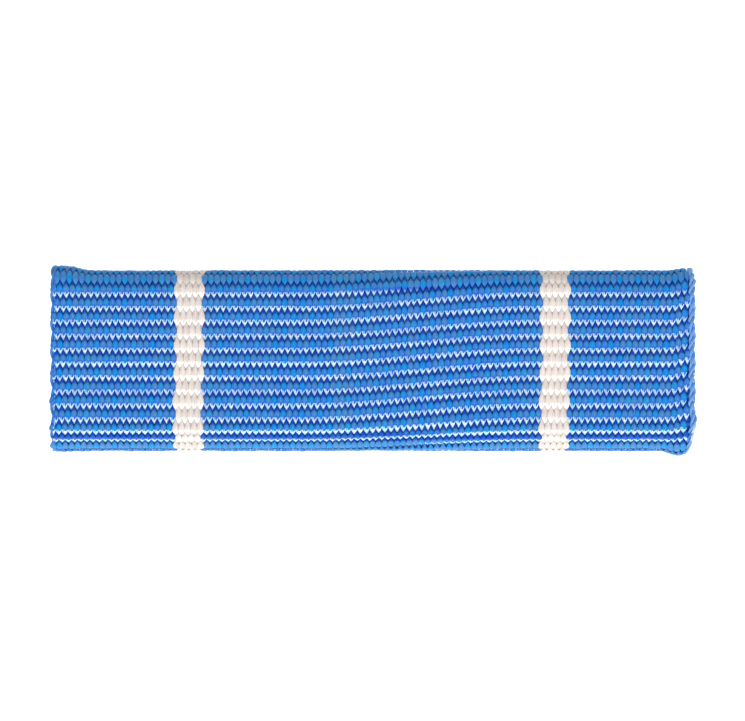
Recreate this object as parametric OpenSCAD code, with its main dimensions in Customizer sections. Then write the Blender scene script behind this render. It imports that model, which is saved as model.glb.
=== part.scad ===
// Service ribbon bar worn on a uniform: a striped grosgrain ribbon folded round a
// stamped blank, a mounting bar with two posts, and two pinch clutches.
// Units are millimetres. The origin is the middle of the mounting bar's rear face,
// which lies on the garment. +X runs along the bar, +Y into the garment, +Z up.

/* [Ribbon] */
// Width of the woven ribbon along the bar
ribbon_width = 34.9; // [34:0.1:36]
// Height of the ribbon over both folds
ribbon_height = 10.1; // [9.9:0.05:10.4]
// Thickness of the woven ribbon
ribbon_thickness = 0.5; // [0.4:0.05:0.55]
// Distance from the middle to the centre of each white stripe
stripe_centre = 10.05; // [8:0.01:12]
// Width of each white stripe
stripe_width = 1.5; // [1:0.01:3]
// Width of the knitted selvedge on the right edge
selvedge_width = 0.5; // [0.3:0.05:0.8]
// Distance from the middle to the cut end of each turned back leg
ribbon_leg_end = 2.25; // [2.2:0.01:2.4]

/* [Blank] */
// Width of the stamped blank inside the ribbon
blank_width = 34.3; // [33:0.1:34.6]
// Thickness of the blank's sheet
blank_sheet = 0.4; // [0.3:0.05:0.45]
// Depth of the channel between the blank's face and its flanges
channel_depth = 0.7; // [0.65:0.05:0.9]
// Distance from the middle to the free edge of each flange
flange_edge = 2.35; // [2.25:0.01:2.6]

/* [Mounting bar] */
// Width of the mounting bar
bar_width = 34; // [30:0.1:34.6]
// Thickness of the bar's sheet
bar_sheet = 0.5; // [0.4:0.05:0.5]
// Half height of the bar over its raised web
web_half_height = 2; // [1.9:0.01:2.05]
// Half height of the bar over its rails
rail_half_height = 3.85; // [3.5:0.01:3.85]
// Height that the web stands proud of the ribbon's back
web_proud = 0.3; // [0.1:0.05:0.5]

/* [Posts] */
// Distance between the two posts
post_spacing = 22; // [18:0.5:24]
// Diameter of a post's shank
post_d = 1.2; // [1:0.05:1.25]
// Length of a post behind the garment face
post_length = 7.5; // [7:0.1:8.5]
// Diameter of a post's head
head_d = 2.8; // [2:0.05:2.9]

/* [Clutches] */
// Gap between the garment face and the clutch, filled by the cloth
cloth_gap = 2.3; // [2.1:0.05:2.6]
// Diameter of the clutch's base plate over its rolled rim
base_d = 9.2; // [9:0.1:9.6]
// Diameter of the clutch's housing
housing_d = 7; // [6.8:0.1:7.2]
// Height of the housing's top above the base's front
housing_top = 2.5; // [2.4:0.05:2.7]
// Thickness of the clutch's sheet
clutch_sheet = 0.35; // [0.3:0.01:0.35]
// Radial clearance round the post
post_clearance = 0.05; // [0.03:0.01:0.08]
// Distance from the post to each wing's pivot
pivot_reach = 2.1; // [2:0.05:2.2]
// Width of a wing's finger tab
tab_width = 5.4; // [4:0.1:6]
// Slant height of a wing's finger tab
tab_length = 3.4; // [2.5:0.1:4]
// Angle at which a wing's tab leans outward
tab_lean = 22; // [10:1:25]

/* [Hidden] */
$fn = 64;

ribbon_blue = "#4F8ACD";
ribbon_white = "#EBE4DD";
selvedge_blue = "#6D9ED6";
brass = "#C9A24A";
nickel = "#C4C6C9";
spring_steel = "#8E9196";
overlap = 1;

// Depths along Y, from the garment face forward
ribbon_back = -web_proud;
blank_back = ribbon_back - ribbon_thickness;
channel_back = blank_back - blank_sheet;
channel_front = channel_back - channel_depth;
blank_front = channel_front - blank_sheet;
ribbon_front = blank_front - ribbon_thickness;
rail_play = (channel_depth - bar_sheet) / 2;
rail_front = channel_front + rail_play;

// Stations along X
ribbon_end = ribbon_width / 2;
stripe_inner = stripe_centre - stripe_width / 2;
stripe_outer = stripe_centre + stripe_width / 2;
selvedge_start = ribbon_end - selvedge_width;
post_x = post_spacing / 2;

// Bar details
web_corner = 0.45;
recess_corner = 0.15;
rail_lead_in = 0.8;

// Post details
post_r = post_d / 2;
stake_r = post_r + 0.05;
head_height = 0.4;
head_chamfer = 0.12;
groove_r = 0.42;
groove_start = post_length - 1.75;
groove_length = 0.4;
groove_slope = 0.18;
point_length = 0.95;
point_r = 0.12;

// Clutch details
clutch_bore = post_r + post_clearance;
rim_wire = 0.3;
rim_reach = base_d / 2 - rim_wire;
rim_height = 0.4;
base_flare = 0.35;
base_flare_depth = 0.15;
housing_r = housing_d / 2;
housing_sheet = 0.3;
housing_corner = 0.4;
foot_r = 3.95;
collar_r = 1.2;
collar_height = 0.35;
slot_length = 2.9;
slot_width = 0.6;
spring_wire = 0.35;
spring_gap = 50;
spring_height = 1.2;
spring_r = housing_r - housing_sheet - 0.05 - spring_wire / 2;
jaw_reach = 0.3;
jaw_height = 1;
jaw_notch = post_r + 0.06;
jaw_half_width = 1.1;
stem_half_width = 1.3;
stem_start = 1.9;
stem_face = pivot_reach + clutch_sheet / 2;
shoulder_height = housing_top + 0.13;
tab_corner = 1.2;

// Extrudes a profile drawn as (depth along Y, height along Z) from one X to another.
module along_x(from, to) {
    translate([from, 0, 0])
        rotate([90, 0, 90])
            linear_extrude(to - from) children();
}

// Turns a shape built round +Z so that its axis points into the garment.
module along_y() {
    rotate([-90, 0, 0]) children();
}

// Outline of a folded strip: flat front and back, fully round at both folds.
module fold_outline(front, back, half_height) {
    radius = (back - front) / 2;
    reach = half_height - radius;
    translate([front, -reach]) square([back - front, 2 * reach]);
    for (side = [-1, 1])
        translate([front + radius, side * reach]) circle(radius);
}

// Sheet folded back at the top and bottom, open at the rear between its two edges.
module folded_sheet(front, back, half_height, sheet, edge) {
    difference() {
        fold_outline(front, back, half_height);
        fold_outline(front + sheet, back - sheet, half_height - sheet);
        translate([(front + back) / 2, -edge]) square([back - front, 2 * edge]);
    }
}

// Rectangle with four round corners.
module rounded_rectangle(low, high, radius) {
    translate([low[0] + radius, low[1]])
        square([high[0] - low[0] - 2 * radius, high[1] - low[1]]);
    translate([low[0], low[1] + radius])
        square([high[0] - low[0], high[1] - low[1] - 2 * radius]);
    for (a = [low[0] + radius, high[0] - radius], b = [low[1] + radius, high[1] - radius])
        translate([a, b]) circle(radius);
}

// One band of the ribbon between two stations along the bar.
module ribbon_band(from, to) {
    along_x(from, to)
        folded_sheet(ribbon_front, ribbon_back, ribbon_height / 2, ribbon_thickness,
                     ribbon_leg_end);
}

module ribbon_blue_left() {
    color(ribbon_blue) ribbon_band(-ribbon_end, -stripe_outer);
}

module ribbon_white_left() {
    color(ribbon_white) ribbon_band(-stripe_outer, -stripe_inner);
}

module ribbon_blue_centre() {
    color(ribbon_blue) ribbon_band(-stripe_inner, stripe_inner);
}

module ribbon_white_right() {
    color(ribbon_white) ribbon_band(stripe_inner, stripe_outer);
}

module ribbon_blue_right() {
    color(ribbon_blue) ribbon_band(stripe_outer, selvedge_start);
}

module ribbon_selvedge() {
    color(selvedge_blue) ribbon_band(selvedge_start, ribbon_end);
}

// Stamped sheet that the ribbon is folded round; its flanges form the rail channels.
module ribbon_blank() {
    color(brass)
        along_x(-blank_width / 2, blank_width / 2)
            folded_sheet(blank_front, blank_back, ribbon_height / 2 - ribbon_thickness,
                         blank_sheet, flange_edge);
}

// Section of the mounting bar: raised web at the rear, a rail above and below it.
module bar_section() {
    recess_half_height = web_half_height - bar_sheet;
    difference() {
        union() {
            rounded_rectangle([rail_front - web_corner, -web_half_height],
                              [0, web_half_height], web_corner);
            translate([rail_front, -rail_half_height])
                square([bar_sheet, 2 * rail_half_height]);
        }
        rounded_rectangle([rail_front - overlap, -recess_half_height],
                          [-bar_sheet, recess_half_height], recess_corner);
        translate([rail_front - overlap, -rail_half_height])
            square([overlap, 2 * rail_half_height]);
    }
}

// Corner cut that leads a rail into its channel.
module rail_corner_cut() {
    translate([bar_width / 2, 0, rail_half_height])
        rotate([0, 45, 0])
            cube([rail_lead_in, 4 * bar_width, rail_lead_in], center = true);
}

module mounting_bar() {
    color(nickel) difference() {
        along_x(-bar_width / 2, bar_width / 2) bar_section();
        for (end = [0, 1], side = [0, 1])
            mirror([end, 0, 0]) mirror([0, 0, side]) rail_corner_cut();
        for (side = [-1, 1])
            translate([side * post_x, -bar_sheet - overlap, 0])
                along_y() cylinder(r = stake_r, h = bar_sheet + 2 * overlap);
    }
}

// Post staked through the web: flat head in the recess, grooved neck, sharp point.
module post(x) {
    head_r = head_d / 2;
    color(nickel) translate([x, 0, 0]) along_y() rotate_extrude() polygon([
        [0, -bar_sheet - head_height],
        [head_r - head_chamfer, -bar_sheet - head_height],
        [head_r, -bar_sheet - head_height + head_chamfer],
        [head_r, -bar_sheet],
        [stake_r, -bar_sheet],
        [stake_r, 0],
        [post_r, 0],
        [post_r, groove_start],
        [groove_r, groove_start + groove_slope],
        [groove_r, groove_start + groove_slope + groove_length],
        [post_r - 0.04, groove_start + 2 * groove_slope + groove_length],
        [post_r - 0.04, post_length - point_length],
        [point_r, post_length - point_r],
        [0, post_length]
    ]);
}

module post_left() { post(-post_x); }

module post_right() { post(post_x); }

// Places a clutch part, built round +Y from the clutch's front, on one post.
module on_post(side) {
    translate([side * post_x, cloth_gap, 0]) children();
}

// Round plate that lies against the cloth, with a rolled rim and a flared bore.
module clutch_base(side) {
    color(brass) on_post(side) along_y() rotate_extrude() {
        polygon([
            [clutch_bore + base_flare, 0],
            [rim_reach, 0],
            [rim_reach, clutch_sheet],
            [clutch_bore, clutch_sheet],
            [clutch_bore, base_flare_depth]
        ]);
        translate([rim_reach, rim_height]) circle(rim_wire);
    }
}

// Drum on the base that the two wings pass through.
module clutch_housing(side) {
    inner_r = housing_r - housing_sheet;
    color(brass) on_post(side) difference() {
        along_y() rotate_extrude() {
            translate([inner_r, clutch_sheet])
                square([housing_sheet, housing_top - housing_corner - clutch_sheet]);
            translate([inner_r, clutch_sheet]) square([foot_r - inner_r, housing_sheet]);
            translate([clutch_bore, housing_top - housing_sheet])
                square([housing_r - housing_corner - clutch_bore, housing_sheet]);
            intersection() {
                translate([housing_r - housing_corner, housing_top - housing_corner])
                    difference() {
                        circle(housing_corner);
                        circle(housing_corner - housing_sheet);
                    }
                translate([housing_r - housing_corner, housing_top - housing_corner])
                    square(housing_corner);
            }
            translate([clutch_bore, housing_top - housing_sheet])
                square([collar_r - clutch_bore, housing_sheet + collar_height]);
        }
        for (reach = [-pivot_reach, pivot_reach])
            translate([reach - slot_width / 2, housing_top - housing_sheet - overlap / 2,
                       -slot_length / 2])
                cube([slot_width, overlap, slot_length]);
    }
}

// Open ring of spring wire inside the drum, round the two wings' lower arms.
module clutch_spring(side) {
    color(spring_steel) on_post(side) along_y() translate([0, 0, spring_height])
        rotate([0, 0, 90 + spring_gap / 2])
            rotate_extrude(angle = 360 - spring_gap)
                translate([spring_r, 0]) circle(spring_wire / 2, $fn = 24);
}

// Edge view of a wing on the +X side: jaw, upright stem and leaning finger tab.
module wing_section() {
    along = [sin(tab_lean), cos(tab_lean)] * tab_length;
    across = [-cos(tab_lean), sin(tab_lean)] * clutch_sheet;
    bend = shoulder_height;
    polygon([
        [jaw_reach, jaw_height],
        [stem_face - clutch_sheet / 2, jaw_height],
        [stem_face, jaw_height + clutch_sheet / 2],
        [stem_face, bend],
        [stem_face + along[0], bend + along[1]],
        [stem_face + along[0] + across[0], bend + along[1] + across[1]],
        [stem_face - clutch_sheet, bend + clutch_sheet * tan(tab_lean / 2)],
        [stem_face - clutch_sheet, jaw_height + clutch_sheet],
        [jaw_reach, jaw_height + clutch_sheet]
    ]);
}

// Face view of a wing: narrow jaw, wider stem and a broad tab with round corners.
module wing_outline() {
    tab_top = shoulder_height + tab_length * cos(tab_lean) + clutch_sheet;
    translate([-jaw_half_width, 0]) square([2 * jaw_half_width, housing_top]);
    translate([-stem_half_width, stem_start])
        square([2 * stem_half_width, tab_top - stem_start - tab_corner]);
    intersection() {
        rounded_rectangle([-tab_width / 2, shoulder_height - 2 * tab_corner],
                          [tab_width / 2, tab_top], tab_corner);
        translate([-tab_width / 2, shoulder_height])
            square([tab_width, tab_top - shoulder_height]);
    }
}

// Sheet lever of a clutch: squeezing the two tabs opens the two jaws off the post.
module clutch_wing(side, reach) {
    color(brass) on_post(side) mirror([reach < 0 ? 1 : 0, 0, 0]) difference() {
        intersection() {
            translate([0, 0, -tab_width / 2]) linear_extrude(tab_width) wing_section();
            rotate([0, 90, 0]) linear_extrude(housing_d) wing_outline();
        }
        translate([0, -overlap, 0]) along_y() cylinder(r = jaw_notch, h = housing_top);
    }
}

module clutch_left_base() { clutch_base(-1); }

module clutch_left_housing() { clutch_housing(-1); }

module clutch_left_spring() { clutch_spring(-1); }

module clutch_left_wing_outer() { clutch_wing(-1, -1); }

module clutch_left_wing_inner() { clutch_wing(-1, 1); }

module clutch_right_base() { clutch_base(1); }

module clutch_right_housing() { clutch_housing(1); }

module clutch_right_spring() { clutch_spring(1); }

module clutch_right_wing_inner() { clutch_wing(1, -1); }

module clutch_right_wing_outer() { clutch_wing(1, 1); }

ribbon_blue_left();
ribbon_white_left();
ribbon_blue_centre();
ribbon_white_right();
ribbon_blue_right();
ribbon_selvedge();
ribbon_blank();
mounting_bar();
post_left();
post_right();
clutch_left_base();
clutch_left_housing();
clutch_left_spring();
clutch_left_wing_outer();
clutch_left_wing_inner();
clutch_right_base();
clutch_right_housing();
clutch_right_spring();
clutch_right_wing_inner();
clutch_right_wing_outer();
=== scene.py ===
"""Service ribbon bar: woven ribbon, folded blank, mounting bar, posts and pinch clutches.

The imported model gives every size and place. The ribbon is woven here end by end: each
warp yarn floats over one pick and dives under the next, and the whole cloth is wrapped
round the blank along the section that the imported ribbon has.
"""

import logging
import math
from dataclasses import dataclass, field
from enum import Enum
from typing import Any

import bpy
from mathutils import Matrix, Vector


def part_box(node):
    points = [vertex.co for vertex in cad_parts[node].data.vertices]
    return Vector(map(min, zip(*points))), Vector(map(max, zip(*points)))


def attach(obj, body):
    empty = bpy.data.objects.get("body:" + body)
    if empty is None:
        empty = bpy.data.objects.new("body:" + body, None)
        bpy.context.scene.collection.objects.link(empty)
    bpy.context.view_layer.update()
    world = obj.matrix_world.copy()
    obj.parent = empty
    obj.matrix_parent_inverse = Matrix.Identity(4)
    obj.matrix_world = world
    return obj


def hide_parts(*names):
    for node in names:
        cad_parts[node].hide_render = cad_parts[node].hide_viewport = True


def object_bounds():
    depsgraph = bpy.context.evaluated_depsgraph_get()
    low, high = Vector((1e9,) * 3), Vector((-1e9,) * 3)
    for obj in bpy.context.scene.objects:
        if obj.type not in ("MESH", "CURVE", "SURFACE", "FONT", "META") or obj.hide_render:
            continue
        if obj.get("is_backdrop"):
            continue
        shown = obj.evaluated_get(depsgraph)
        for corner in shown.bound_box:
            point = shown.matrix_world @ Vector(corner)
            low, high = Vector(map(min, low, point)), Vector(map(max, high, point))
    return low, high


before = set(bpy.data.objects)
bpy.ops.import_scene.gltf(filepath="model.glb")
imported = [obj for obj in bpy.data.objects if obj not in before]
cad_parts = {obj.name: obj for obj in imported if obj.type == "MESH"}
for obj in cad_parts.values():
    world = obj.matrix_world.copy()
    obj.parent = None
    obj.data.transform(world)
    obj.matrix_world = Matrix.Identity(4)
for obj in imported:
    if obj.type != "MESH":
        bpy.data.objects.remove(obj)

LOG = logging.getLogger("ribbon_bar")
MM = 0.001
FULL_TURN = 2 * math.pi

# A start and an end, such as those of a smooth step.
Span = tuple[float, float]


# ---------------------------------------------------------------- small helpers


def linear(hex_colour: str) -> tuple[float, float, float, float]:
    """Turns an sRGB hex colour into the linear colour that a shader socket takes.

    Args:
        hex_colour: six hex digits after a hash.

    Returns:
        Linear red, green and blue, and a full alpha.
    """
    channels = [int(hex_colour[i : i + 2], 16) / 255 for i in (1, 3, 5)]
    red, green, blue = (
        c / 12.92 if c <= 0.04045 else ((c + 0.055) / 1.055) ** 2.4 for c in channels
    )
    return red, green, blue, 1.0


def add(
    tree: bpy.types.NodeTree, kind: str, inputs: dict | None = None, **settings: Any
) -> bpy.types.Node:
    """Adds a node with its settings and links.

    Args:
        tree: the node tree that takes the node.
        kind: the node's type name.
        inputs: a value, socket or Field for each input, by name or number.
        settings: the node's own properties.

    Returns:
        The new node.
    """
    made = tree.nodes.new(kind)
    for name, value in settings.items():
        setattr(made, name, value)
    for name, value in (inputs or {}).items():
        source = value.socket if isinstance(value, Field) else value
        if isinstance(source, bpy.types.NodeSocket):
            tree.links.new(source, made.inputs[name])
        else:
            made.inputs[name].default_value = source
    return made


class Field:
    """A number worked out by a node tree, written as ordinary arithmetic."""

    def __init__(self, socket: bpy.types.NodeSocket) -> None:
        """Wraps an output socket.

        Args:
            socket: the socket that gives the number.
        """
        self.socket = socket
        self.tree = socket.id_data

    def math(self, operation: str, *others: Any) -> "Field":
        """Applies one math operation.

        Args:
            operation: Blender's name of the operation.
            others: its second and third numbers.

        Returns:
            The result.
        """
        inputs = dict(enumerate((self, *others)))
        made = add(self.tree, "ShaderNodeMath", inputs, operation=operation)
        return Field(made.outputs[0])

    def __add__(self, other: Any) -> "Field":
        """Returns the sum."""
        return self.math("ADD", other)

    def __sub__(self, other: Any) -> "Field":
        """Returns the difference."""
        return self.math("SUBTRACT", other)

    def __rsub__(self, other: float) -> "Field":
        """Returns a constant less this."""
        return self.math("MULTIPLY_ADD", -1.0, other)

    def __neg__(self) -> "Field":
        """Returns this with its sign turned."""
        return self.math("MULTIPLY", -1.0)

    def __mul__(self, other: Any) -> "Field":
        """Returns the product."""
        return self.math("MULTIPLY", other)

    def __truediv__(self, other: Any) -> "Field":
        """Returns the quotient."""
        return self.math("DIVIDE", other)

    def __mod__(self, other: Any) -> "Field":
        """Returns what is left after whole multiples of other."""
        return self.math("FLOORED_MODULO", other)

    def __abs__(self) -> "Field":
        """Returns the size without its sign."""
        return self.math("ABSOLUTE")

    def sin(self) -> "Field":
        """Returns the sine of this angle."""
        return self.math("SINE")

    def cos(self) -> "Field":
        """Returns the cosine of this angle."""
        return self.math("COSINE")

    def clamp(self, low: float, high: float) -> "Field":
        """Returns this, held between two numbers."""
        return self.math("MAXIMUM", low).math("MINIMUM", high)

    def smooth(self, low: float, high: float) -> "Field":
        """Returns 0 before low, 1 after high and a smooth step between them."""
        inputs = {"Value": self, "From Min": low, "From Max": high}
        made = add(
            self.tree, "ShaderNodeMapRange", inputs, interpolation_type="SMOOTHSTEP"
        )
        return Field(made.outputs["Result"])

    def vector(self, y: Any = 0.0, z: Any = 0.0) -> bpy.types.NodeSocket:
        """Joins this and two more numbers into a vector socket."""
        return add(self.tree, "ShaderNodeCombineXYZ", {0: self, 1: y, 2: z}).outputs[0]

    def chance(self, y: Any = 0.0, z: Any = 0.0) -> "Field":
        """Returns a number from 0 to 1 that jumps with every change of the inputs."""
        made = add(self.tree, "ShaderNodeTexWhiteNoise", {0: self.vector(y, z)})
        return Field(made.outputs["Value"])

    def drift(self, y: Any = 0.0, z: Any = 0.0) -> "Field":
        """Returns a number about 0, within a half, that wanders with the inputs."""
        inputs = {"Vector": self.vector(y, z), "Scale": 1.0, "Detail": 1.0}
        return Field(add(self.tree, "ShaderNodeTexNoise", inputs).outputs[0]) - 0.5


# ---------------------------------------------------------------- finishes


class Slot(Enum):
    """Material slot names for the woven pieces; nothing in the script uses them."""

    BLUE = "ribbon_blue"
    WHITE = "ribbon_white"
    SELVEDGE = "ribbon_selvedge"


class Surface:
    """A material under construction, with one method for each step of it."""

    def __init__(self, name: str) -> None:
        """Starts an empty material.

        Args:
            name: the real material and how its surface was made.
        """
        self.material = bpy.data.materials.new(name)
        self.material.use_nodes = True
        self.tree = self.material.node_tree
        self.tree.nodes.clear()

    def attribute(self, name: str) -> Field:
        """Returns a number stored on the mesh."""
        made = add(self.tree, "ShaderNodeAttribute", attribute_name=name)
        return Field(made.outputs["Fac"])

    def mix(self, factor: Field, first: Any, second: Any) -> bpy.types.NodeSocket:
        """Mixes two colours, each a hex text or a socket."""
        first, second = (
            linear(c) if isinstance(c, str) else c for c in (first, second)
        )
        inputs = {0: factor, 6: first, 7: second}
        made = add(self.tree, "ShaderNodeMix", inputs, data_type="RGBA")
        return made.outputs[2]

    def noise(
        self, place: bpy.types.NodeSocket, scale: tuple, detail: float = 2.0
    ) -> Field:
        """Returns noise about 0 at a place, with its own scale along each axis."""
        stretched = add(
            self.tree, "ShaderNodeMapping", {"Vector": place, "Scale": scale}
        )
        inputs = {"Vector": stretched.outputs[0], "Scale": 1.0, "Detail": detail}
        made = add(self.tree, "ShaderNodeTexNoise", inputs)
        return Field(made.outputs[0]) - 0.5

    def uv(self) -> bpy.types.NodeSocket:
        """Returns the mesh's own UV map."""
        return add(self.tree, "ShaderNodeUVMap", uv_map="UVMap").outputs[0]

    def here(self) -> bpy.types.NodeSocket:
        """Returns the place on the object, in metres."""
        return add(self.tree, "ShaderNodeTexCoord").outputs["Object"]

    def finish(self, inputs: dict[str, Any]) -> bpy.types.Material:
        """Adds the surface shader and the output.

        Args:
            inputs: the shader's inputs.

        Returns:
            The finished material.
        """
        shader = add(self.tree, "ShaderNodeBsdfPrincipled", inputs)
        add(self.tree, "ShaderNodeOutputMaterial", {0: shader.outputs[0]})
        return self.material


@dataclass(frozen=True)
class SatinYarn:
    """Dyed filament yarn, thrown and woven under tension.

    Its parallel filaments give the eye a soft sheen. Light and shade are also painted
    into its colour: a darker flank colour at a float's sides and ends, a deep colour
    where a float dives behind its neighbours and in the crease, a lighter colour on the
    folds, and a bright fleck on the lower tip of each float as a painted highlight.
    """

    name: str
    # The crest's own colour, then the flank and deep colours, which paint shade, and the
    # gleam colour, which paints a highlight.
    crest: str
    flank_shade: str
    dive_shade: str
    gleam: str
    roughness: float = 0.3
    # Bundles of filaments round a yarn. Single filaments, about 0.015 mm thick, are
    # too fine to show, so they are drawn this coarse.
    bundles: float = 9.0
    # Blotches round a yarn, and in each pick along it.
    blotches: float = 2.6
    # Distances up the cloth from its middle, in millimetres, where the face turns into
    # the upper fold, loses its flecks and goes over to the rear.
    crown: Span = (3.85, 4.15)
    last_flecks: Span = (3.6, 3.95)
    over: Span = (4.3, 4.5)
    # Distances down the cloth from its middle, where the flecks widen, the crease above
    # the lower fold begins and ends, and the fold begins.
    wide_flecks: Span = (3.2, 3.8)
    crease: Span = (3.9, 4.05)
    crease_end: Span = (4.3, 4.45)
    foot: Span = (4.45, 4.6)
    # Where the lowest flecks begin, as a distance up the cloth.
    first_flecks: Span = (-4.72, -4.55)
    # How far the crest's colour gives way to the painted flank shade at a float's sides,
    # and comes back on a fold as painted light.
    side_loss: float = 0.6
    fold_gain: float = 0.75
    # How much painted dive shade shows in the crease and at a float's lower tip, and how
    # much of it a fold hides.
    crease_shade: float = 0.75
    tip_shade: float = 0.55
    fold_fade: float = 0.8
    # How far a painted highlight fleck runs up the sides of its float, by chance, and low
    # on the face.
    arm_reach: float = 0.38
    chance_reach: float = 0.45
    low_reach: float = 0.22
    # A painted fleck's strength: at least, how much more by chance, and lost at its rims.
    fleck_least: float = 0.78
    fleck_more: float = 0.35
    rim_loss: float = 0.5

    def build(self) -> bpy.types.Material:
        """Builds the material.

        Returns:
            The finished material.
        """
        surface = Surface(self.name)
        wave, fall = surface.attribute("wave"), surface.attribute("fall")
        each, tint = surface.attribute("float"), surface.attribute("tint")
        place = surface.attribute("place")
        uv = surface.uv()
        parts = add(surface.tree, "ShaderNodeSeparateXYZ", {0: uv})
        side = abs((Field(parts.outputs[0]) * FULL_TURN).sin())
        uneven = surface.noise(uv, (self.blotches, self.blotches, 1.0), 1.0)
        streak = surface.noise(uv, (self.bundles, 0.8, 1.0))

        # Painted light and shade: a float's crest takes the crest colour, its sides and
        # ends the darker flank colour, and cloth on a fold is painted light with the crest
        # colour.
        foot = (-place).smooth(*self.foot)
        folded = place.smooth(*self.crown).math("MAXIMUM", foot)
        crest = 1.0 - abs(fall - 0.25).smooth(0.25, 0.95)
        crest = crest * wave.smooth(0.0, 0.5) * (1.0 - side * self.side_loss)
        crest = crest.math("MAXIMUM", folded * self.fold_gain)
        face = surface.mix(crest, self.flank_shade, self.crest)

        # Painted shade: the deep colour where a float dives, at its tip and in the crease.
        below = -place
        creased = below.smooth(*self.crease) * (1.0 - below.smooth(*self.crease_end))
        under = (-wave).smooth(0.1, 0.7) * fall.smooth(-0.6, 0.6)
        dive = fall.smooth(0.55, 1.0).math("MAXIMUM", under)
        hidden = place.smooth(*self.over).math("MAXIMUM", foot)
        dive = dive * (1.0 - hidden * self.fold_fade)
        tip = (-fall).smooth(0.4, 0.85) * (1.0 - folded) * self.tip_shade
        dive = dive.math("MAXIMUM", tip).math("MAXIMUM", creased * self.crease_shade)
        shaded = surface.mix(dive, face, self.dive_shade)

        # Painted highlight: a float's lower tip gleams as a fleck with two arms.
        seen = place.smooth(*self.first_flecks) * (1.0 - place.smooth(*self.last_flecks))
        low = below.smooth(*self.wide_flecks) * self.low_reach
        arms = side.smooth(0.4, 0.92) * self.arm_reach
        gleam = (arms + uneven * self.chance_reach + low - fall).smooth(0.86, 0.99)
        strength = each * self.fleck_more + self.fleck_least + low
        gleam = gleam * wave.smooth(-0.75, -0.35) * strength * seen
        gleam = gleam * (1.0 - side.smooth(0.9, 1.0) * self.rim_loss)
        lit = surface.mix(gleam, shaded, self.gleam)
        # Random tint, blotches and filament streaks vary the colour, and the lower fold is
        # made a little darker.
        varied = add(
            surface.tree,
            "ShaderNodeHueSaturation",
            {
                "Hue": tint * 0.008 + uneven * 0.05 * crest + 0.498,
                "Saturation": tint * 0.06 + streak * 0.2 + 0.98,
                "Value": tint * 0.1 + streak * 0.8 - foot * 0.08 + 0.95,
                "Color": lit,
            },
        )
        bump = add(
            surface.tree,
            "ShaderNodeBump",
            {"Strength": 0.35, "Distance": 0.02 * MM, "Height": streak},
        )
        around = add(
            surface.tree, "ShaderNodeTangent", direction_type="UV_MAP", uv_map="UVMap"
        )
        return surface.finish(
            {
                "Base Color": varied.outputs[0],
                "Roughness": streak * 0.12 + self.roughness,
                "Anisotropic": 0.3,
                "Specular IOR Level": 0.2,
                "Subsurface Weight": 0.35,
                "Subsurface Radius": (0.4, 0.7, 1.0),
                "Subsurface Scale": 0.12 * MM,
                "Normal": bump.outputs[0],
                "Tangent": around.outputs[0],
            }
        )


@dataclass(frozen=True)
class Metal:
    """Sheet or wire metal with the marks of its making and of wear.

    Drawing lines along one axis scatter the shine into faint streaks, a fine
    unevenness keeps reflections from looking like glass and corners are rubbed
    brighter. Clouds of tarnish darken it unevenly, and the hollows that the occlusion
    node finds are painted darker, as shade.
    """

    name: str
    bright: str
    dark_tarnish_and_shade: str
    roughness: float
    lines: tuple[float, float, float]
    # How far wear has rounded an edge, in millimetres.
    edge: float = 0.05
    # How dark the painted shade in a hollow is, and how far from a wall it reaches, in
    # millimetres.
    hollow_shade: float = 0.6
    shade_reach: float = 0.8
    # Clouds of tarnish and pits of the surface, each as marks to a millimetre.
    clouds: float = 0.35
    pits: float = 9.0

    def build(self) -> bpy.types.Material:
        """Builds the material.

        Returns:
            The finished material.
        """
        surface = Surface(self.name)
        here = surface.here()
        drawn = surface.noise(here, tuple(line / MM for line in self.lines), 3.0)
        cloudy = surface.noise(here, (self.clouds / MM,) * 3, 3.0)
        pitted = surface.noise(here, (self.pits / MM,) * 3, 2.0)
        rounded = add(
            surface.tree, "ShaderNodeBevel", {"Radius": self.edge * MM}, samples=6
        )
        reach = {"Distance": self.shade_reach * MM}
        hollow = add(surface.tree, "ShaderNodeAmbientOcclusion", reach, samples=6)
        open_sky = Field(hollow.outputs["AO"])
        # Painted shade in the hollows, over clouds of tarnish.
        tarnish_and_shade = (1.0 - open_sky.smooth(0.35, 0.95)) * self.hollow_shade + cloudy * 0.9 + 0.1
        colour = surface.mix(tarnish_and_shade.clamp(0.0, 1.0), self.bright, self.dark_tarnish_and_shade)
        bump = add(
            surface.tree,
            "ShaderNodeBump",
            {
                "Strength": 0.3,
                "Distance": 0.01 * MM,
                "Height": drawn + pitted * 0.4,
                "Normal": rounded.outputs[0],
            },
        )
        rough = drawn * 0.12 + cloudy * 0.2 + tarnish_and_shade * 0.1 + self.roughness
        return surface.finish(
            {
                "Base Color": colour,
                "Metallic": 1.0,
                "Roughness": rough.clamp(0.12, 0.7),
                "Normal": bump.outputs[0],
            }
        )


# Each yarn's colours are given in order: its crest colour, a flank and a deep colour that
# paint shade, and a gleam colour that paints a highlight.
# Two ends in three: a greyer blue, which sets the tone of the ribbon.
PERIWINKLE = SatinYarn(
    "periwinkle filament yarn, woven", "#4B8CC5", "#1466C2", "#084ABA", "#C6E4FD"
)
# Every third end: a clearer blue, which makes the fine upright stripes.
AZURE = SatinYarn(
    "azure filament yarn, woven", "#2A94D0", "#086EC8", "#044ABA", "#ACE0FC"
)
# The two narrow bands: warm white, whose floats show by their shade alone; their deep
# colour is a little lighter than the crest, painted light where the floats dive.
WHITE = SatinYarn(
    "white filament yarn, woven", "#D8CFCA", "#D8CFCA", "#E0D7D2", "#FFFCFA"
)
# The bound edge: a paler blue, looser and more open than the warp.
PALE = SatinYarn(
    "pale blue binding yarn, knitted", "#84AEDD", "#4E89C8", "#2C68B8", "#E0F0FF"
)
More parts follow.
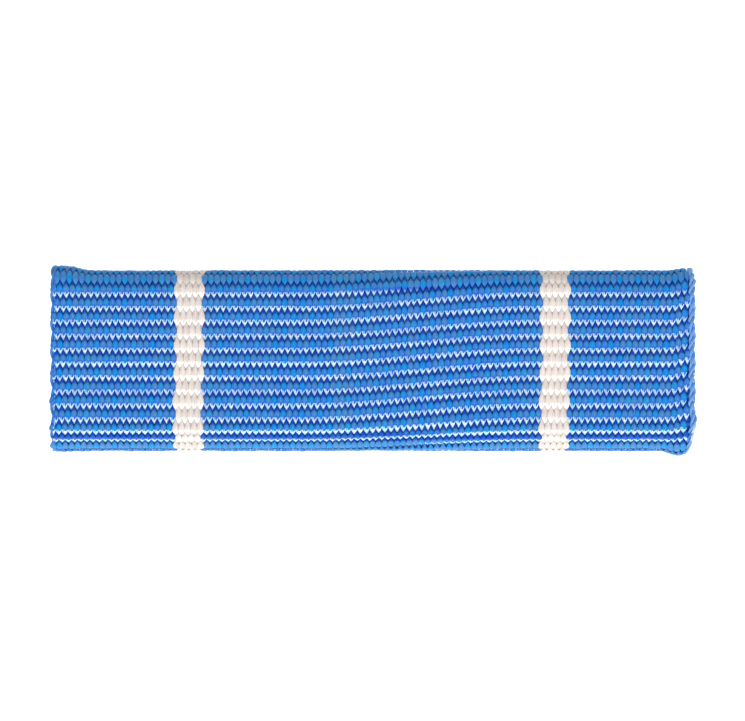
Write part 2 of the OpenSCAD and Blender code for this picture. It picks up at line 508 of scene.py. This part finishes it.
# Under the blue floats: an even blue that fills every gap with shade.
SHADE = SatinYarn(
    "blue filling yarn, packed", "#2A70E0", "#2468D8", "#1C60D0", "#2A70E0"
)
# Under the white floats: the undyed filling, as light as the yarns on it.
SHADE_WHITE = SatinYarn(
    "undyed filling yarn, packed", "#E4DAD6", "#E4DAD6", "#E4DAD6", "#E4DAD6"
)
# Rolling leaves faint lines along the strip; the folds' inner sides get a darker brown,
# painted shade.
BLANK = Metal("rolled brass, stamped and folded", "#C79F58", "#8A6A34", 0.34, (0.6, 8, 8))
# Plating over a pressed strip: cool and bright, with a soft cloudy reflection.
BAR = Metal("nickel plated steel, pressed", "#C9CACB", "#8E8D8A", 0.26, (0.5, 14, 14))
# Turning leaves fine rings round the post, under a brighter plating.
PIN = Metal("nickel plated steel, turned", "#CFCFCE", "#8B8A88", 0.22, (3, 20, 3), 0.03)
# Tumbling takes away the tool marks: warm, even and shiny, with painted shade darkening
# the corners.
CLUTCH = Metal("brass, deep drawn and tumbled", "#D8AE58", "#8C6526", 0.25, (4, 4, 4))
# Drawing leaves a fine grain on the wire, and the steel is darker and greyer.
SPRING = Metal("spring steel wire, drawn", "#A9ABAE", "#5F6062", 0.3, (9, 2, 9), 0.02)


# ---------------------------------------------------------------- yarns


class Yarns:
    """A geometry tree that lays down equal tubes for a formula to bend.

    Each tube knows its row number, how far along it a point is, from 0 to 1, and how
    far round it, from 0 to 1.
    """

    # Radius of a tube before the formula places its points, in metres.
    start_radius = 0.01

    def __init__(self, name: str, extra: dict[str, tuple[str, Any]] | None = None) -> None:
        """Starts the tree.

        Args:
            name: the tree's name.
            extra: socket type and default of each input past the common ones.
        """
        self.tree = bpy.data.node_groups.new(name, "GeometryNodeTree")
        face = self.tree.interface
        face.new_socket("Geometry", in_out="INPUT", socket_type="NodeSocketGeometry")
        common = {
            "Rows": ("Int", 1),
            "Rings": ("Int", 150),
            "Sides": ("Int", 8),
            "Seed": ("Int", 1),
            "Finish": ("Material", None),
        }
        for label, (kind, value) in {**common, **(extra or {})}.items():
            socket = face.new_socket(
                label, in_out="INPUT", socket_type="NodeSocket" + kind
            )
            if value is not None:
                socket.default_value = value
        face.new_socket("Geometry", in_out="OUTPUT", socket_type="NodeSocketGeometry")
        group = self.tree.nodes.new("NodeGroupInput")
        self.given = {s.name: Field(s) for s in group.outputs if s.name}
        self.index = Field(self.tree.nodes.new("GeometryNodeInputIndex").outputs[0])

    def store(self, geometry: Any, name: str, value: Any) -> bpy.types.NodeSocket:
        """Stores a number on every point and returns the geometry."""
        inputs = {"Geometry": geometry, "Name": name, "Value": value}
        kind = {"data_type": "FLOAT", "domain": "POINT"}
        return add(
            self.tree, "GeometryNodeStoreNamedAttribute", inputs, **kind
        ).outputs[0]

    def read(self, name: str) -> Field:
        """Reads a stored number back."""
        kind = {"data_type": "FLOAT"}
        made = add(self.tree, "GeometryNodeInputNamedAttribute", {"Name": name}, **kind)
        return Field(made.outputs[0])

    def grow(self, keep: Field | None = None) -> bpy.types.NodeSocket:
        """Lays down the tubes.

        Args:
            keep: says which rows stay.

        Returns:
            The tubes as real geometry.
        """
        tree, given = self.tree, self.given
        line = add(
            tree, "GeometryNodeMeshLine", {"Count": given["Rows"], "Offset": (0, 0, 0)}
        )
        points = self.store(line.outputs[0], "row", self.index)
        if keep is not None:
            inputs = {"Geometry": points, "Selection": 1.0 - keep}
            points = add(tree, "GeometryNodeDeleteGeometry", inputs).outputs[0]
        factor = tree.nodes.new("GeometryNodeSplineParameter").outputs["Factor"]
        run = add(tree, "GeometryNodeCurvePrimitiveLine", {"End": (0, 0, 1)})
        inputs = {"Curve": run.outputs[0], "Count": given["Rings"]}
        rings = add(tree, "GeometryNodeResampleCurve", inputs)
        inputs = {"Resolution": given["Sides"], "Radius": self.start_radius}
        loop = add(tree, "GeometryNodeCurvePrimitiveCircle", inputs)
        tube = add(
            tree,
            "GeometryNodeCurveToMesh",
            {
                "Curve": self.store(rings.outputs[0], "along", factor),
                "Profile Curve": self.store(loop.outputs[0], "around", factor),
                "Fill Caps": True,
            },
        )
        inputs = {"Points": points, "Instance": tube.outputs[0]}
        rows = add(tree, "GeometryNodeInstanceOnPoints", inputs)
        return add(tree, "GeometryNodeRealizeInstances", {0: rows.outputs[0]}).outputs[0]

    def finish(
        self, geometry: Any, position: Any, marks: dict[str, Any], along: Field
    ) -> bpy.types.NodeTree:
        """Bends the tubes, stores what the finish reads and closes the tree.

        Args:
            geometry: the tubes.
            position: where each point goes.
            marks: numbers that the finish reads, by name.
            along: the UV map's second coordinate.

        Returns:
            The finished tree.
        """
        tree = self.tree
        inputs = {"Geometry": geometry, "Position": position}
        shaped = add(tree, "GeometryNodeSetPosition", inputs).outputs[0]
        for name, value in marks.items():
            shaped = self.store(shaped, name, value)
        around = self.read("around").vector(along)
        mapped = add(
            tree,
            "GeometryNodeStoreNamedAttribute",
            {"Geometry": shaped, "Name": "UVMap", "Value": around},
            data_type="FLOAT2",
            domain="CORNER",
        )
        smooth = add(tree, "GeometryNodeSetShadeSmooth", {0: mapped.outputs[0]})
        inputs = {"Geometry": smooth.outputs[0], "Material": self.given["Finish"]}
        dressed = add(tree, "GeometryNodeSetMaterial", inputs)
        add(tree, "NodeGroupOutput", {0: dressed.outputs[0]})
        return tree


def grown(name: str, tree: bpy.types.NodeTree, values: dict[str, Any]) -> bpy.types.Object:
    """Runs a geometry tree and returns its result as a plain mesh.

    Args:
        name: the piece's name.
        tree: the geometry tree.
        values: the tree's inputs by name.

    Returns:
        An object with a plain mesh and no modifier.
    """
    maker = bpy.data.objects.new(name + "_maker", bpy.data.meshes.new(name + "_maker"))
    bpy.context.scene.collection.objects.link(maker)
    modifier = maker.modifiers.new("grow", "NODES")
    modifier.node_group = tree
    for item in tree.interface.items_tree:
        if item.in_out == "INPUT" and item.name in values:
            modifier[item.identifier] = values[item.name]
    graph = bpy.context.evaluated_depsgraph_get()
    mesh = bpy.data.meshes.new_from_object(maker.evaluated_get(graph), depsgraph=graph)
    bpy.data.objects.remove(maker)
    mesh.name = name
    made = bpy.data.objects.new(name, mesh)
    bpy.context.scene.collection.objects.link(made)
    LOG.info("%s: %d faces", name, len(mesh.polygons))
    return made


# ---------------------------------------------------------------- the woven ribbon


@dataclass(frozen=True)
class Band:
    """A run of neighbouring warp ends with one repeat of colours."""

    name: str
    first: int
    ends: int
    white: bool = False
    colour_shift: int = 1


@dataclass
class Weave:
    """The ribbon's section and weave, in millimetres.

    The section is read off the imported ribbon. The rest is what the loom sets: how far
    apart the ends and picks lie, how high a float rises and how flat it is pressed.
    """

    # How far from the middle the rear legs end, and where the first warp end lies.
    leg_end: float = 2.25
    first_end: float = -17.408
    spacing: float = 0.1673
    pick_pitch: float = 0.757
    first_crossing: float = 3.50
    float_rise: float = 0.082
    yarn_depth: float = 0.055
    float_width: float = 0.198
    dive_width: float = 0.034
    # Depth of the cloth's middle below its outer face.
    middle_depth: float = 0.2
    # Along the bar, the rows climb one pick between these places, and a share of a
    # pick more over a short run at the right edge.
    climb: Span = (-3.9, 9.15)
    edge_climb: float = 0.35
    edge_run: float = 1.3
    # Above the lower fold the picks are crowded by this share of a pick.
    crowding: float = 0.45
    crowded: Span = (3.7, 4.7)
    crowded_even: Span = (3.7, 5.0)
    # How far the ends lean sideways down the face.
    lean: float = -0.075
    lean_run: Span = (-0.8, 2.8)
    # What chance does to an end: in its phase, width and place.
    wander_phase: float = 0.12
    wander_width: float = 0.25
    wander_place: float = 0.03
    # A float stays open over part of its dive, and is narrower at its upper end.
    open_dive: float = 0.35
    late: float = 0.06
    upper_narrowing: float = 0.22
    # Where the relief is low, the ends are wider and stand higher by these.
    flat_width: float = 0.06
    flat_height: float = 0.1
    # Picks turn in pairs at the left edge: how far inside it, how far the loop bulges
    # and how thick it is. Then half a pick's width and height, how deep it lies in the
    # cloth, and how far the loop rises.
    turn_inset: float = 0.16
    turn_reach: float = 0.09
    turn_thickness: float = 0.09
    pick_width: float = 0.1
    pick_height: float = 0.08
    pick_sink: float = 0.08
    turn_rise: float = 0.06
    # How far the cloth stands off the blank at its top left, top right and bottom left
    # corners, how far it sags near the bottom right one, and what the edge takes back.
    top_left: float = 0.26
    top_right: float = 0.08
    bottom_left: float = 0.03
    bottom_right: float = 0.24
    edge_back: float = 0.4
    # Going down the right edge, the binding's slack comes, then turns into a pull that
    # is this many times as great.
    slack_on: Span = (2.4, 3.2)
    slack_off: Span = (3.4, 4.7)
    slack_pull: float = 3.2
    # Radius of a broken filament, how high it stands and arches over the face, and
    # the area along the bar and up the cloth in which it lies.
    hair: float = 0.014
    hair_base: float = 0.17
    hair_arch: float = 0.14
    hair_along: Span = (12.6, 16.0)
    hair_up: Span = (-3.4, 0.2)
    ground_thickness: float = 0.03
    half_width: float = field(init=False)
    front: float = field(init=False)
    radius: float = field(init=False)
    straight: float = field(init=False)

    def __post_init__(self) -> None:
        """Reads the section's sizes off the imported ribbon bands."""
        low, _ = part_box("ribbon_blue_left")
        _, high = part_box("ribbon_selvedge")
        self.half_width = (high.x - low.x) / 2 / MM
        self.front = low.y / MM
        self.radius = (high.y - low.y) / 2 / MM
        self.straight = high.z / MM - self.radius

    @property
    def half_length(self) -> float:
        """Length of the ribbon's outer face from its middle to either cut end."""
        return self.straight + math.pi * self.radius + self.straight - self.leg_end

    def stand_off(self, x: Field, s: Field) -> Field:
        """Returns how far the cloth stands off the blank near its corners.

        Args:
            x: place along the bar.
            s: distance along the ribbon's outer face, upward from the middle.

        Returns:
            The extra height above the blank.
        """
        top = s.smooth(self.straight - 0.6, self.straight + 1.2)
        bottom = (-s).smooth(self.straight - 0.4, self.straight + 1.6)
        left = (-x).smooth(self.half_width - 2.3, self.half_width - 0.6)
        right = x.smooth(self.half_width - 1.4, self.half_width - 0.4)
        sag = x.smooth(self.half_width - 1.7, self.half_width - 0.8) * self.bottom_right
        sag = sag - x.smooth(self.half_width - 0.5, self.half_width) * self.edge_back
        raised = top * (left * self.top_left + right * self.top_right)
        return raised + bottom * (left * self.bottom_left + sag)

    def wrapped(self, x: Field, s: Field, lift: Field) -> bpy.types.NodeSocket:
        """Wraps a point of the flat cloth round the blank.

        Args:
            x: place along the bar.
            s: distance along the ribbon's outer face, upward from the middle.
            lift: height above the middle of the cloth's thickness.

        Returns:
            A socket with the point's place, in metres.
        """
        distance = abs(s)
        turn = ((distance - self.straight) / self.radius).clamp(0.0, math.pi)
        leg = (distance - (self.straight + math.pi * self.radius)).math("MAXIMUM", 0.0)
        out = lift + self.stand_off(x, s) + (self.radius - self.middle_depth)
        y = self.front + self.radius - out * turn.cos()
        height = distance.math("MINIMUM", self.straight) + out * turn.sin() - leg
        return (x * MM).vector(y * MM, height * s.math("SIGN") * MM)

    def rise(self, x: Field) -> Field:
        """Returns how many picks the rows have climbed by a place along the bar."""
        edge = x.smooth(self.half_width - self.edge_run, self.half_width)
        return x.smooth(*self.climb) + edge * self.edge_climb

    def pick(self, x: Field, s: Field) -> Field:
        """Counts picks up the ribbon; the warp crosses at each whole number and a half.

        Args:
            x: place along the bar.
            s: distance along the ribbon's outer face, upward from the middle.

        Returns:
            The pick number.
        """
        crowded = (-s).smooth(*self.crowded) * self.crowding
        even = (s - self.first_crossing) / self.pick_pitch + 0.5
        return even - crowded - self.rise(x)

    def pick_place(self, x: Field, pick: Field) -> Field:
        """Returns where a pick lies, as distance along the outer face.

        Args:
            x: place along the bar.
            pick: the pick number.

        Returns:
            The distance upward from the middle.
        """
        even = (pick - 0.5 + self.rise(x)) * self.pick_pitch + self.first_crossing
        crowded = (-even).smooth(*self.crowded_even)
        return even + crowded * (self.crowding * self.pick_pitch)

    def warp(self) -> bpy.types.NodeTree:
        """Builds the tree that weaves the ends of one colour in one band."""
        yarns = Yarns(
            "warp ends",
            {
                "First End": ("Int", 0),
                "Colour Repeat": ("Int", 3),
                "Colour Shift": ("Int", 1),
                "Keep Marked": ("Bool", False),
                "Relief": ("Float", 1.0),
            },
        )
        given = yarns.given
        marked = ((yarns.index + given["Colour Shift"]) % given["Colour Repeat"]).math(
            "COMPARE", 0.0, 0.1
        )
        tubes = yarns.grow(marked.math("COMPARE", given["Keep Marked"], 0.1))

        end = yarns.read("row") + given["First End"]
        centre = (end + 0.5) * self.spacing + self.first_end
        s = (yarns.read("along") - 0.5) * (2 * self.half_length)
        angle = yarns.read("around") * FULL_TURN
        wander = (end * 0.9).drift(s * 1.1, given["Seed"])
        pick = self.pick(centre, s)
        over = ((pick + end + 1.0) * 0.5).math("ROUND")
        each = (end * 7.3).chance(over * 3.7, given["Seed"])
        phase = (pick + end + 1.0 + wander * self.wander_phase) * math.pi
        wave = phase.cos()
        opened = (phase + self.late).cos().clamp(-self.open_dive, 1.0)
        swell = (opened + self.open_dive) / (1.0 + self.open_dive)
        half = swell * (self.float_width - self.dive_width) + self.dive_width
        full = (1.0 - given["Relief"]) * self.flat_width
        upper = phase.sin().smooth(0.1, 0.9) * self.upper_narrowing
        half = half * (1.0 - upper) + full
        half = half * (wander * self.wander_width + 1.0)
        lean = (-s).smooth(*self.lean_run) * self.lean
        x = centre + lean + angle.sin() * half + wander * self.wander_place
        pressed = wave * 1.5 - wave * wave * wave * 0.5
        lift = pressed * (each * 0.5 + 0.75) * self.float_rise
        lift = (lift + angle.cos() * self.yarn_depth) * given["Relief"]
        lift = lift + (1.0 - given["Relief"]) * self.flat_height
        marks = {
            "wave": wave,
            "fall": phase.sin(),
            "tint": end.chance(given["Seed"]),
            "float": each,
            "place": s,
        }
        return yarns.finish(
            tubes, self.wrapped(x, s, lift), marks, s / self.pick_pitch
        )

    def weft(self) -> bpy.types.NodeTree:
        """Builds the tree that lays the picks in pairs, each turning at the left edge."""
        yarns = Yarns("weft picks", {"First Pick": ("Int", -16)})
        tubes = yarns.grow()
        reach = self.half_width - self.turn_inset
        bend = math.pi / 2 * self.pick_pitch / 2
        across = (yarns.read("along") - 0.5) * (2 * (bend + 2 * reach))
        angle = yarns.read("around") * FULL_TURN
        turn = (across / (self.pick_pitch / 2)).clamp(-math.pi / 2, math.pi / 2)
        past = (abs(across) - bend).math("MAXIMUM", 0.0)
        x = past - turn.cos() * self.turn_reach - reach
        number = yarns.read("row") * 2.0 + yarns.given["First Pick"] + 0.5
        s = self.pick_place(x, number + turn.sin() * 0.5)
        inside = turn.cos().math("MAXIMUM", 0.0)
        x = x - angle.cos() * inside * self.turn_thickness
        outside = (1.0 - inside * inside).math("SQRT") * turn.math("SIGN")
        s = s + angle.cos() * outside * self.pick_width
        lift = angle.sin() * self.pick_height + inside * self.turn_rise - self.pick_sink
        marks = {
            "wave": inside * 0.0 + 0.9,
            "fall": inside * 0.3 - 0.3,
            "tint": number.chance(1.0),
            "float": number.chance(2.0),
            "place": s,
        }
        return yarns.finish(tubes, self.wrapped(x, s, lift), marks, across)

    def edging(self) -> bpy.types.NodeTree:
        """Builds the tree that twists binding strands along an edge."""
        yarns = Yarns(
            "edge binding",
            {
                "Loop Pitch": ("Float", 2 * self.pick_pitch),
                "Strands": ("Float", 3.0),
                "Middle": ("Float", 17.38),
                "Thickness": ("Float", 0.088),
                "Spread": ("Float", 0.1),
                "Slack": ("Float", 0.06),
            },
        )
        given = yarns.given
        tubes = yarns.grow()
        strand = yarns.read("row")
        s = (yarns.read("along") - 0.5) * (2 * self.half_length)
        angle = yarns.read("around") * FULL_TURN
        lay = (s / given["Loop Pitch"] + strand / given["Strands"]) * FULL_TURN
        loose = (s * 0.8).drift(strand * 5.0, 3.0)
        bulge = (s / given["Loop Pitch"] * FULL_TURN + 0.6).cos() * 0.03
        pulled = (-s).smooth(*self.slack_off) * self.slack_pull
        slack = ((-s).smooth(*self.slack_on) - pulled) * given["Slack"]
        spread = loose * 0.06 + given["Spread"]
        x = bulge + slack + given["Middle"] + lay.sin() * spread
        lift = lay.cos() * spread + 0.02
        thick = loose * 0.03 + given["Thickness"]
        x = x + angle.cos() * thick
        lift = lift + angle.sin() * thick
        # Here wave and fall follow the twist, to set where the finish paints shade and
        # highlights along each strand.
        marks = {
            "wave": lay.cos() * 0.3 + 0.7,
            "fall": lay.sin() * -0.45 - 0.1,
            "tint": strand.chance(4.0),
            "float": (s * 1.3).math("FLOOR").chance(strand),
            "place": s,
        }
        return yarns.finish(tubes, self.wrapped(x, s, lift), marks, s * 2.0)

    def stray(self) -> bpy.types.NodeTree:
        """Builds the tree that leaves a few broken filaments on the face."""
        yarns = Yarns("stray filaments")
        tubes = yarns.grow()
        row, along = yarns.read("row"), yarns.read("along")
        angle = yarns.read("around") * FULL_TURN
        seed = yarns.given["Seed"]
        heading = row.chance(1.0, seed) * 1.6 + 0.9
        length = row.chance(2.0, seed) * 0.5 + 0.35
        curl = along * (row.chance(3.0, seed) - 0.5) * 0.8
        near, far = self.hair_along
        low, high = self.hair_up
        x = row.chance(4.0, seed) * (far - near) + near
        s = row.chance(5.0, seed) * (high - low) + low
        x = x + (heading + curl).cos() * along * length + angle.cos() * self.hair
        s = s + (heading + curl).sin() * along * length
        lift = (along * math.pi).sin() * self.hair_arch + angle.sin() * self.hair
        lift = lift + self.hair_base
        marks = {
            "wave": along * 0.0 + 1.0,
            "fall": along * 0.0,
            "tint": row.chance(6.0),
            "float": row.chance(7.0),
            "place": s,
        }
        return yarns.finish(tubes, self.wrapped(x, s, lift), marks, along)

    def ground(self) -> bpy.types.NodeTree:
        """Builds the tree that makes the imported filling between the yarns."""
        yarns = Yarns(
            "ground",
            {
                "From": ("Float", -17.3),
                "To": ("Float", 17.4),
                "Depth": ("Float", 0.14),
            },
        )
        inputs = {"Size": (1, 1, 1), "Vertices X": 60, "Vertices Y": 150, "Vertices Z": 2}
        block = add(yarns.tree, "GeometryNodeMeshCube", inputs).outputs[0]
        block = yarns.store(block, "around", 0.25)
        place = yarns.tree.nodes.new("GeometryNodeInputPosition").outputs[0]
        corner = add(yarns.tree, "ShaderNodeSeparateXYZ", {0: place}).outputs
        across, along, through = (Field(socket) for socket in corner)
        start, stop = yarns.given["From"], yarns.given["To"]
        x = (across + 0.5) * (stop - start) + start
        s = along * (2 * self.half_length - 0.1)
        lift = through * -self.ground_thickness - yarns.given["Depth"]
        marks = {
            "wave": along * 0.0 + 0.5,
            "fall": along * 0.0 + 0.3,
            "tint": along * 0.0 + 0.5,
            "float": along * 0.0 + 0.5,
            "place": s,
        }
        return yarns.finish(block, self.wrapped(x, s, lift), marks, s / 0.3)


@dataclass
class Ribbon:
    """The folded ribbon, woven from blue and white ends on one ground."""

    weave: Weave = field(default_factory=Weave)
    body: str = "ribbon"
    # White yarns lie flatter than blue ones, and their ground lies higher.
    white_relief: float = 0.7
    white_depth: float = -0.02
    bands: tuple[Band, ...] = (
        Band("blue_left", 0, 40),
        Band("white_left", 40, 9, white=True),
        Band("blue_centre", 49, 110),
        Band("white_right", 159, 9, white=True),
        Band("blue_right", 168, 39, colour_shift=2),
    )

    def piece(
        self, name: str, tree: bpy.types.NodeTree, values: dict[str, Any]
    ) -> bpy.types.Object:
        """Grows one piece of the ribbon and puts it on the ribbon's body.

        Args:
            name: the piece's name.
            tree: the geometry tree.
            values: the tree's inputs by name.

        Returns:
            The piece.
        """
        made = grown(name, tree, values)
        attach(made, self.body)
        return made

    def build(self) -> list[bpy.types.Object]:
        """Weaves the ribbon.

        Returns:
            The ribbon's pieces, the ground sheet first.
        """
        warp = self.weave.warp()
        periwinkle, azure, white = PERIWINKLE.build(), AZURE.build(), WHITE.build()
        pale, shade = PALE.build(), SHADE.build()
        yarns: list[bpy.types.Object] = []
        for band in self.bands:
            colours = (
                (("yarn", 1, True, white),)
                if band.white
                else (("periwinkle", 3, False, periwinkle), ("azure", 3, True, azure))
            )
            for word, repeat, marked, finish in colours:
                values = {
                    "Rows": band.ends,
                    "First End": band.first,
                    "Colour Repeat": repeat,
                    "Colour Shift": band.colour_shift,
                    "Keep Marked": marked,
                    "Relief": self.white_relief if band.white else 1.0,
                    "Finish": finish,
                }
                made = self.piece(f"warp_{band.name}_{word}", warp, values)
                yarns.append(made)
            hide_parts(f"ribbon_{band.name}")
        picks = {"Rows": 12, "Rings": 120, "Finish": periwinkle}
        yarns.append(self.piece("weft_picks", self.weave.weft(), picks))
        strands = {"Rows": 3, "Rings": 260, "Finish": pale}
        binding = self.piece("edge_binding", self.weave.edging(), strands)
        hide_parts("ribbon_selvedge")
        strands = {
            "Rows": 2,
            "Rings": 200,
            "Strands": 2.0,
            "Middle": -17.38,
            "Thickness": 0.075,
            "Spread": 0.07,
            "Slack": 0.0,
            "Finish": periwinkle,
        }
        yarns.append(self.piece("edge_cord_left", self.weave.edging(), strands))
        hairs = {"Rows": 5, "Rings": 14, "Sides": 5, "Seed": 4, "Finish": pale}
        stray = self.piece("stray_filaments", self.weave.stray(), hairs)
        packed = self.weave.ground()
        ground = self.piece("ground", packed, {"Finish": shade})
        shade_white = SHADE_WHITE.build()
        for band in self.bands:
            if band.white:
                start = self.weave.first_end + self.weave.spacing * band.first
                stop = start + self.weave.spacing * band.ends
                values = {
                    "From": start,
                    "To": stop,
                    "Depth": self.white_depth,
                    "Finish": shade_white,
                }
                name = f"ground_{band.name}"
                yarns.append(self.piece(name, packed, values))
        yarns += [binding, stray]
        return [ground, *yarns]


# ---------------------------------------------------------------- metal parts


@dataclass
class Hardware:
    """The blank, the mounting bar with its posts, and the two clutches."""

    finishes: tuple[tuple[str, Metal], ...] = (
        ("ribbon_blank", BLANK),
        ("mounting_bar", BAR),
        ("post", PIN),
        ("spring", SPRING),
        ("clutch", CLUTCH),
    )

    def build(self) -> None:
        """Gives each metal node the finish of its own metal and making."""
        ready = [(word, metal.build()) for word, metal in self.finishes]
        for name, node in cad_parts.items():
            for word, material in ready:
                if word in name:
                    for holder in node.material_slots:
                        holder.material = material
                    LOG.info("%s: %s", name, material.name)
                    break


# ---------------------------------------------------------------- the studio


@dataclass
class Studio:
    """A white sweep, soft lights and a long lens square to the ribbon's face."""

    lens_mm: float = 120.0
    sensor_mm: float = 36.0
    # Width of the view at the ribbon's face, in millimetres.
    frame_width: float = 40.47
    # The sweep, in metres: how far below the ribbon it lies, where it starts in front,
    # where its wall stands, how tall that is, and half its width.
    floor_drop: float = 0.16
    floor_start: float = -0.9
    wall: float = 0.5
    wall_bend: float = 0.1
    wall_height: float = 0.9
    half_floor: float = 1.1
    bend_steps: int = 10
    glow: float = 0.55
    # Strength of the light in the room, and what the camera sees on top of it.
    room_light: float = 0.44
    backdrop: float = 0.61
    # The low strip that grazes the floats' lower tips, in metres and degrees.
    lamp_distance: float = 0.14
    lamp_angle: float = 50.0

    def sweep(self) -> None:
        """Builds the pale floor that curves up into the wall behind."""
        bend = self.wall_bend
        outline = [(self.floor_start, 0.0)]
        for step in range(self.bend_steps + 1):
            turned = math.radians(step * 90 / self.bend_steps)
            outline.append(
                (
                    self.wall - bend + bend * math.sin(turned),
                    bend - bend * math.cos(turned),
                )
            )
        outline.append((self.wall, self.wall_height))
        sides = (-self.half_floor, self.half_floor)
        points = [(x, y, z - self.floor_drop) for y, z in outline for x in sides]
        faces = [(i, i + 1, i + 3, i + 2) for i in range(0, len(points) - 2, 2)]
        mesh = bpy.data.meshes.new("sweep")
        mesh.from_pydata(points, [], faces)
        mesh.shade_smooth()
        made = bpy.data.objects.new("sweep", mesh)
        bpy.context.scene.collection.objects.link(made)
        surface = Surface("white paper, matt")
        mesh.materials.append(
            surface.finish(
                {
                    "Base Color": linear("#F4F4F3"),
                    "Roughness": 0.9,
                    "Emission Color": linear("#FFFFFF"),
                    "Emission Strength": self.glow,
                }
            )
        )
        made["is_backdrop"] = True

    def lamp(
        self,
        name: str,
        place: tuple[float, float, float],
        size: tuple[float, float],
        power: float,
    ) -> None:
        """Adds a softbox that faces the ribbon.

        Args:
            name: the lamp's name.
            place: where it stands, in metres.
            size: its width and height, in metres.
            power: its power, in watts.
        """
        data = bpy.data.lights.new(name, "AREA")
        data.shape = "RECTANGLE"
        data.size, data.size_y = size
        data.energy = power
        made = bpy.data.objects.new(name, data)
        made.location = place
        made.rotation_euler = Vector(place).to_track_quat("Z", "Y").to_euler()
        made.visible_camera = False
        bpy.context.scene.collection.objects.link(made)

    def camera(self, face: float) -> None:
        """Sets the camera square to the ribbon's face.

        Args:
            face: y of the face, in metres.
        """
        data = bpy.data.cameras.new("camera")
        data.lens, data.sensor_width = self.lens_mm, self.sensor_mm
        data.clip_start, data.clip_end = 0.01, 10.0
        distance = self.frame_width * MM / 2 / (self.sensor_mm / 2 / self.lens_mm)
        made = bpy.data.objects.new("camera", data)
        made.location = (0.0, face - distance, 0.0)
        made.rotation_euler = (math.pi / 2, 0.0, 0.0)
        bpy.context.scene.collection.objects.link(made)
        bpy.context.scene.camera = made

    def sky(self) -> None:
        """Fills the room with soft even light."""
        world = bpy.data.worlds.new("studio")
        world.use_nodes = True
        tree = world.node_tree
        tree.nodes.clear()
        rays = add(tree, "ShaderNodeLightPath")
        seen = Field(rays.outputs["Is Camera Ray"]) * self.backdrop + self.room_light
        light = add(tree, "ShaderNodeBackground", {"Strength": seen})
        light.inputs["Color"].default_value = (1, 1, 1, 1)
        add(tree, "ShaderNodeOutputWorld", {0: light.outputs[0]})
        bpy.context.scene.world = world

    def build(self, face: float) -> None:
        """Builds the whole studio.

        Args:
            face: y of the ribbon's face, in metres.
        """
        bpy.context.scene.view_settings.view_transform = "Standard"
        self.camera(face)
        self.sky()
        self.sweep()
        self.lamp("front softbox", (0.0, -0.5, -0.03), (0.6, 0.5), 0.46)
        low = math.radians(self.lamp_angle)
        under = (
            0.0,
            -self.lamp_distance * math.cos(low),
            -self.lamp_distance * math.sin(low),
        )
        self.lamp("low strip", under, (0.30, 0.02), 0.17)
        self.lamp("top softbox", (0.0, -0.12, 0.45), (0.5, 0.3), 0.8)


def main() -> None:
    """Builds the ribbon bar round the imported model."""
    logging.basicConfig(level=logging.INFO, format="%(name)s %(message)s")
    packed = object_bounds()
    Studio().build(packed[0].y)
    LOG.info("ribbon: %d pieces", len(Ribbon().build()))
    Hardware().build()


if __name__ == "__main__":
    main()
